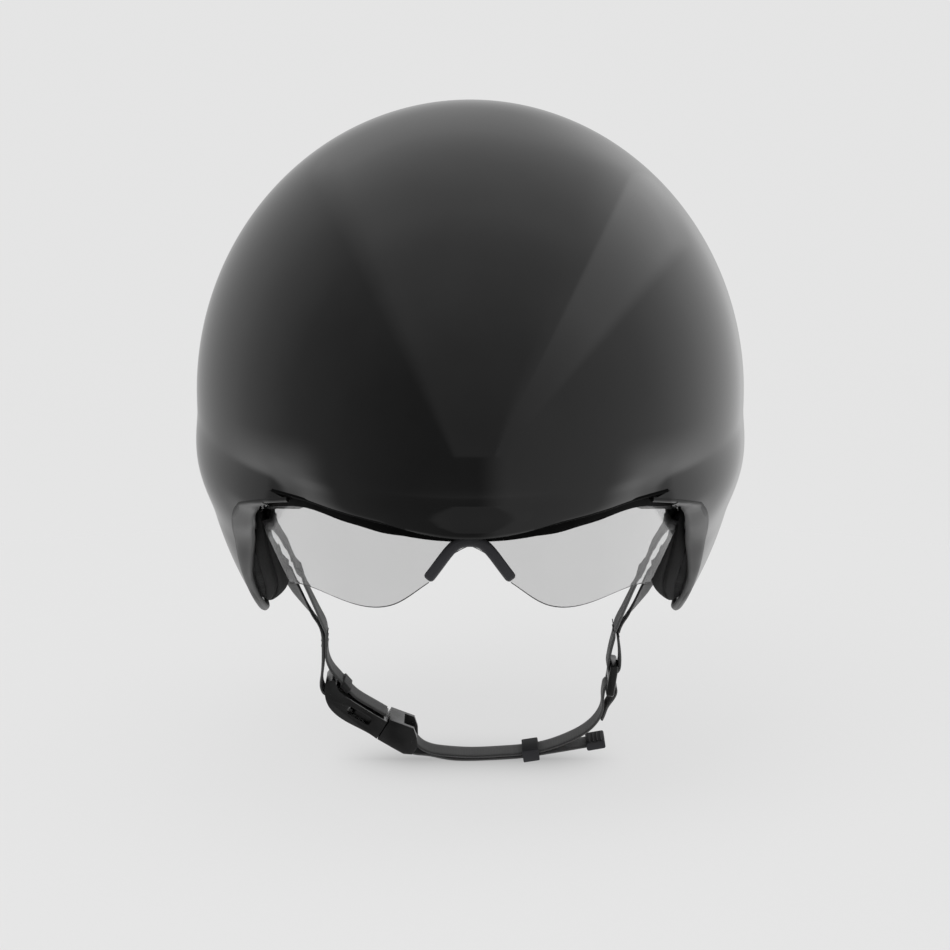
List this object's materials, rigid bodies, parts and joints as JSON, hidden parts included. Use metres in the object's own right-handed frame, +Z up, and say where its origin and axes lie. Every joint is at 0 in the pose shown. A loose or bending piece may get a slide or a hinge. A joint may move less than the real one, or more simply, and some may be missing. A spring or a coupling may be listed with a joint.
{
  "type": "aero time trial helmet",
  "caption": "Smooth-shelled aero bicycle helmet with ear covers, cut-off vented tail, pull-off clear visor, dial fit cradle and buckled chin straps.",
  "frame": {"origin": "centre of the wearer's head in the helmet's cavity, on the middle plane, at the level where the shell is widest", "axes": "+Z up to the crown, -Y to the front and the visor, +X to the wearer's left"},
  "size_m": [0.216, 0.3012, 0.2596],
  "materials": {
    "shell_gloss": "polished black composite shell",
    "foam": "moulded black foam",
    "trim": "satin rim",
    "vent": "satin",
    "padding": "knitted cover over foam",
    "lens": "clear",
    "rail": "satin",
    "soft_rubber": "matte",
    "magnet": "plated",
    "fit_plastic": "satin",
    "pinion_plastic": "moulded",
    "webbing": "woven",
    "elastic": "knitted elastic",
    "buckle": "moulded acetal"
  },
  "bodies": {
    "helmet": {"outer_shell": "shell_gloss", "foam_liner": "foam", "lower_trim": "trim", "tail_vent": "vent", "brow_pad": "padding", "crown_pad": "padding", "side_pads": "padding", "ear_pad_left": "padding", "ear_pad_right": "padding", "brow_magnets": "magnet", "band_pivots": "fit_plastic", "strap_anchors": "buckle", "front_strap_left": "webbing", "front_strap_right": "webbing", "rear_strap_left": "webbing", "rear_strap_right": "webbing", "chin_strap": "webbing", "strap_tail": "webbing", "strap_end_tip": "soft_rubber", "tail_keeper": "elastic", "length_slider": "buckle", "buckle_socket": "buckle"},
    "visor": {"visor_lens": "lens", "visor_rail": "rail", "nose_guard": "soft_rubber", "visor_magnets": "magnet"},
    "fit_band": {"band_arm_left": "fit_plastic", "band_arm_right": "fit_plastic"},
    "cradle": {"cradle_frame": "fit_plastic", "cradle_pads": "padding", "dial_housing": "fit_plastic"},
    "left_rack": {"rack_left": "fit_plastic"},
    "right_rack": {"rack_right": "fit_plastic"},
    "dial": {"fit_dial": "fit_plastic", "dial_grip": "soft_rubber", "drive_pinion": "pinion_plastic"},
    "plug": {"buckle_plug": "buckle"},
    "front_release": {"release_arm_front": "buckle"},
    "rear_release": {"release_arm_rear": "buckle"},
    "keeper": {"strap_keeper": "soft_rubber"}
  },
  "joints": [
    {"name": "visor_pull", "type": "slide", "parent": "helmet", "child": "visor", "axis": [0, 0, -1], "range_m": [0, 0.05]},
    {"name": "band_tilt", "type": "hinge", "parent": "helmet", "child": "fit_band", "pos_m": [0, -0.036, -0.024], "axis": [1, 0, 0], "range_deg": [-8, 5]},
    {"name": "fit_slide", "type": "slide", "parent": "fit_band", "child": "cradle", "axis": [0, -1, 0], "range_m": [0, 0.009], "deforming": ["band_arm_left", "band_arm_right"]},
    {"name": "dial_turn", "type": "hinge", "parent": "cradle", "child": "dial", "pos_m": [0, 0.0866, -0.054], "axis": [0, 1, 0], "range_deg": [0, 129]},
    {"name": "left_rack_slide", "type": "slide", "parent": "cradle", "child": "left_rack", "axis": [1, 0, 0], "range_m": [0, 0.0092]},
    {"name": "right_rack_slide", "type": "slide", "parent": "cradle", "child": "right_rack", "axis": [-1, 0, 0], "range_m": [0, 0.0092]},
    {"name": "buckle_slide", "type": "slide", "parent": "helmet", "child": "plug", "axis": [0.848, 0, -0.5299], "range_m": [0, 0.022], "deforming": ["chin_strap", "strap_tail"]},
    {"name": "front_release_squeeze", "type": "hinge", "parent": "plug", "child": "front_release", "pos_m": [-0.03558, -0.0091, -0.13192], "axis": [-0.5299, 0, -0.848], "range_deg": [0, 6], "stiffness_Nm_per_rad": 0.2},
    {"name": "rear_release_squeeze", "type": "hinge", "parent": "plug", "child": "rear_release", "pos_m": [-0.03558, 0.0051, -0.13192], "axis": [0.5299, 0, 0.848], "range_deg": [0, 6], "stiffness_Nm_per_rad": 0.2},
    {"name": "keeper_slide", "type": "slide", "parent": "helmet", "child": "keeper", "axis": [-0.9944, 0, -0.106], "range_m": [0, 0.01]}
  ],
  "couplings": [
    {"joint": "dial_turn", "follows": "fit_slide", "rad_per_m": 250},
    {"joint": "left_rack_slide", "follows": "fit_slide", "ratio": 1},
    {"joint": "right_rack_slide", "follows": "fit_slide", "ratio": 1}
  ]
}
